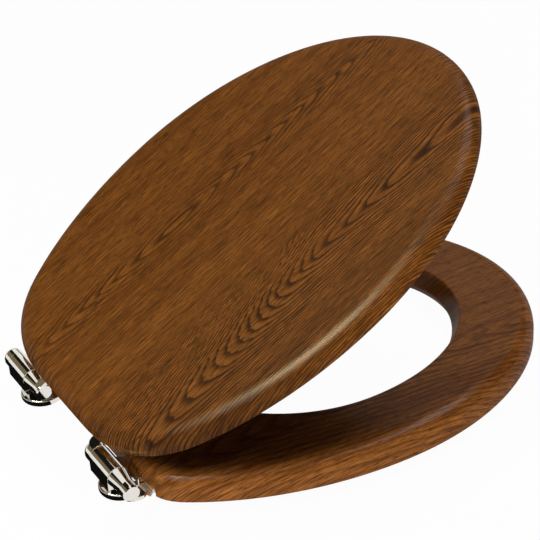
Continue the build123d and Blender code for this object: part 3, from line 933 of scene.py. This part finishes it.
@dataclass
class Studio:
    """Pale floor, soft light and the camera."""

    eye: Point = (-0.96104, 0.34109, 0.71193)
    right: Point = (-0.50938538, -0.8583877, -0.06080368)
    up: Point = (0.3952403, -0.29613711, 0.86953316)
    back: Point = (-0.7644028, 0.41889542, 0.49011733)
    lens: float = 100.41
    sensor: float = 36.0
    clip: Span = (0.01, 50.0)
    aim: Point = (0.0, -0.18, 0.06)
    ambient: float = 0.097
    floor_side: float = 8.0
    floor_drop: float = 0.0006
    floor_tone: Colour = (0.74, 0.74, 0.74)
    floor_white: float = 0.97
    flag_radius: float = 2.2
    flag_segments: int = 64
    flag_gap: Span = (radians(-65.0), radians(-5.0))
    patch_across: Span = (-0.118, 0.26)
    patch_along: Span = (0.0, 0.12)
    patch_tone: Colour = (0.006, 0.006, 0.005)
    card_place: Point = (0.02, 0.48, 1.33)
    card_sides: Span = (0.8, 0.5)
    card_tone: Colour = (46.0, 50.0, 33.0)
    shade_place: Point = (-0.271, 0.042, 0.272)
    shade_sides: Span = (0.2, 0.48)
    shade_aim: Point = (-0.13, -0.01, 0.272)
    shade_tone: Colour = (0.0, 0.0, 0.0)

    def build(self) -> None:
        """Set up the world, the floor, the lamps and the camera."""
        bpy.context.scene.view_settings.view_transform = "Standard"
        self.build_world()
        self.build_floor()
        self.build_flags()
        for lamp in LAMPS:
            self.build_lamp(lamp)
        self.build_camera()

    def direct_share(self, tree: bpy.types.NodeTree) -> Socket:
        """Tell the rays that show a surface from those that only carry soft light.

        Args:
            tree: The nodes that are being written.

        Returns:
            1 on camera, glossy and transmission rays, and 0 on others.
        """
        path = tree.nodes.new("ShaderNodeLightPath")
        share = path.outputs["Is Camera Ray"]
        for kind in ("Is Glossy Ray", "Is Transmission Ray"):
            either = tree.nodes.new("ShaderNodeMath")
            either.operation = "MAXIMUM"
            tree.links.new(share, either.inputs[0])
            tree.links.new(path.outputs[kind], either.inputs[1])
            share = either.outputs["Value"]
        return share

    def build_world(self) -> None:
        """White for the camera and in reflections, an even grey for soft light."""
        world = bpy.data.worlds.new("studio_world")
        bpy.context.scene.world = world
        world.use_nodes = True
        nodes = world.node_tree.nodes
        links = world.node_tree.links
        nodes.clear()
        strength = nodes.new("ShaderNodeMapRange")
        strength.inputs["To Min"].default_value = self.ambient
        strength.inputs["To Max"].default_value = 1.0
        links.new(self.direct_share(world.node_tree), strength.inputs["Value"])
        light = nodes.new("ShaderNodeBackground")
        light.inputs["Color"].default_value = WHITE
        links.new(strength.outputs["Result"], light.inputs["Strength"])
        output = nodes.new("ShaderNodeOutputWorld")
        links.new(light.outputs["Background"], output.inputs["Surface"])

    def build_floor(self) -> None:
        """A pale floor that reads white, keeps a soft shadow and is clear from below."""
        bpy.ops.mesh.primitive_plane_add(size=self.floor_side, location=(0.0, 0.0, -self.floor_drop))
        floor = bpy.context.object
        floor.name = "studio_floor"
        material = bpy.data.materials.new("studio_floor")
        material.use_nodes = True
        nodes = material.node_tree.nodes
        links = material.node_tree.links
        nodes.clear()
        matt = nodes.new("ShaderNodeBsdfDiffuse")
        matt.inputs["Color"].default_value = (*self.floor_tone, 1.0)
        white = nodes.new("ShaderNodeEmission")
        share = nodes.new("ShaderNodeMath")
        share.operation = "MULTIPLY"
        share.inputs[1].default_value = self.floor_white
        links.new(self.direct_share(material.node_tree), share.inputs[0])
        both = nodes.new("ShaderNodeMixShader")
        links.new(share.outputs["Value"], both.inputs["Fac"])
        links.new(matt.outputs["BSDF"], both.inputs[1])
        links.new(white.outputs["Emission"], both.inputs[2])
        clear = nodes.new("ShaderNodeBsdfTransparent")
        side = nodes.new("ShaderNodeNewGeometry")
        choice = nodes.new("ShaderNodeMixShader")
        links.new(side.outputs["Backfacing"], choice.inputs["Fac"])
        links.new(both.outputs["Shader"], choice.inputs[1])
        links.new(clear.outputs["BSDF"], choice.inputs[2])
        output = nodes.new("ShaderNodeOutputMaterial")
        links.new(choice.outputs["Shader"], output.inputs["Surface"])
        floor.data.materials.append(material)

    def build_flags(self) -> None:
        """Cards that only reflections see, and one that only keeps the side light off the lid's corner."""
        for flag in FLAGS:
            wall = self.open_ring if flag.is_open else self.flag_ring
            self.add_flag(flag.name, wall(flag.foot, flag.head), flag.tone)
        self.add_flag("studio_flag_floor", self.floor_patch(), self.patch_tone)
        bright = self.card(self.card_place, self.card_sides, self.aim)
        self.add_flag("studio_edge_card", bright, self.card_tone)
        upright = self.card(self.shade_place, self.shade_sides, self.shade_aim)
        shade = self.add_flag("studio_shade", upright, self.shade_tone)
        shade.visible_glossy = False
        shade.visible_shadow = True

    def open_ring(self, foot: float, head: float) -> bmesh.types.BMesh:
        """A round wall about the studio with a gap over the front of the far side.

        Args:
            foot: Height of its lower edge.
            head: Height of its upper edge.

        Returns:
            The wall's mesh.
        """
        ring = self.flag_ring(foot, head)
        start, end = self.flag_gap
        middles = {face: face.calc_center_median() for face in ring.faces}
        gap = [face for face, middle in middles.items() if start < atan2(middle.y, middle.x) < end]
        bmesh.ops.delete(ring, geom=gap, context="FACES")
        return ring

    def sheet(self, sides: Span) -> bmesh.types.BMesh:
        """A level rectangle about the origin.

        Args:
            sides: Its lengths along X and Y.

        Returns:
            The rectangle's mesh.
        """
        sheet = bmesh.new()
        bmesh.ops.create_grid(sheet, x_segments=1, y_segments=1, size=0.5)
        bmesh.ops.scale(sheet, verts=sheet.verts[:], vec=(*sides, 1.0))
        return sheet

    def floor_patch(self) -> bmesh.types.BMesh:
        """A card that lies just above the floor by the feet.

        Returns:
            The card's mesh.
        """
        left, right = self.patch_across
        front, rear = self.patch_along
        patch = self.sheet((right - left, rear - front))
        middle = ((left + right) / 2, (front + rear) / 2, -self.floor_drop / 2)
        bmesh.ops.translate(patch, verts=patch.verts[:], vec=middle)
        return patch

    def card(self, place: Point, sides: Span, aim: Point) -> bmesh.types.BMesh:
        """A flat card that faces a point.

        Args:
            place: Its middle.
            sides: Its level and its rising side.
            aim: The point that it faces.

        Returns:
            The card's mesh.
        """
        card = self.sheet(sides)
        facing = Vector(aim) - Vector(place)
        turn = facing.to_track_quat("-Z", "Y").to_matrix().to_4x4()
        bmesh.ops.transform(card, verts=card.verts[:], matrix=Matrix.Translation(place) @ turn)
        return card

    def flag_ring(self, foot: float, head: float) -> bmesh.types.BMesh:
        """A round wall about the studio.

        Args:
            foot: Height of its lower edge.
            head: Height of its upper edge.

        Returns:
            The wall's mesh.
        """
        ring = bmesh.new()
        bmesh.ops.create_circle(ring, segments=self.flag_segments, radius=self.flag_radius)
        rim = bmesh.ops.extrude_edge_only(ring, edges=ring.edges[:])["geom"]
        top = [item for item in rim if isinstance(item, bmesh.types.BMVert)]
        bmesh.ops.translate(ring, verts=ring.verts[:], vec=(0.0, 0.0, foot))
        bmesh.ops.translate(ring, verts=top, vec=(0.0, 0.0, head - foot))
        return ring

    def glow(self, name: str, colour: Colour) -> bpy.types.Material:
        """A material of one tone that needs no light.

        Args:
            name: The material's name.
            colour: Its tone.

        Returns:
            The material.
        """
        material = bpy.data.materials.new(name)
        material.use_nodes = True
        nodes = material.node_tree.nodes
        nodes.clear()
        tone = nodes.new("ShaderNodeEmission")
        tone.inputs["Color"].default_value = (*colour, 1.0)
        output = nodes.new("ShaderNodeOutputMaterial")
        material.node_tree.links.new(tone.outputs["Emission"], output.inputs["Surface"])
        return material

    def add_flag(self, name: str, mesh: bmesh.types.BMesh, colour: Colour) -> bpy.types.Object:
        """Turn a mesh into a card of one tone that only reflections see.

        Args:
            name: The card's name.
            mesh: Its shape, freed here.
            colour: What it reflects as.

        Returns:
            The card's object.
        """
        card = put_in_scene(name, mesh_of(name, mesh, self.glow(name, colour)))
        card.visible_camera = False
        card.visible_diffuse = False
        card.visible_shadow = False
        card.visible_transmission = False
        card.visible_volume_scatter = False
        return card

    def build_lamp(self, lamp: Lamp) -> None:
        """Hang one lamp.

        Args:
            lamp: What it is and where it hangs.
        """
        light = bpy.data.lights.new(lamp.name, "AREA")
        light.shape = "RECTANGLE"
        light.size, light.size_y = lamp.sides
        light.energy = lamp.power
        holder = put_in_scene(lamp.name, light)
        holder.location = lamp.place
        facing = Vector(self.aim) - Vector(lamp.place)
        holder.rotation_mode = "QUATERNION"
        holder.rotation_quaternion = facing.to_track_quat("-Z", "Y")
        holder.visible_camera = False
        holder.visible_glossy = lamp.in_reflections

    def build_camera(self) -> None:
        """Stand the camera behind the hinges, above the near side."""
        camera = bpy.data.cameras.new("camera")
        camera.lens = self.lens
        camera.sensor_width = self.sensor
        camera.clip_start, camera.clip_end = self.clip
        holder = put_in_scene("camera", camera)
        columns = Matrix((self.right, self.up, self.back)).transposed()
        holder.matrix_world = Matrix.Translation(self.eye) @ columns.to_4x4()
        bpy.context.scene.camera = holder


def main() -> None:
    """Dress the part and set up the studio."""
    logging.basicConfig(level=logging.INFO, format="%(message)s")
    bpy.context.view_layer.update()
    dresser = Dresser()
    Cover().build(dresser)
    Seat().build(dresser)
    for side in ("left", "right"):
        Hinge(side).build(dresser)
    Studio().build()


if __name__ == "__main__":
    main()
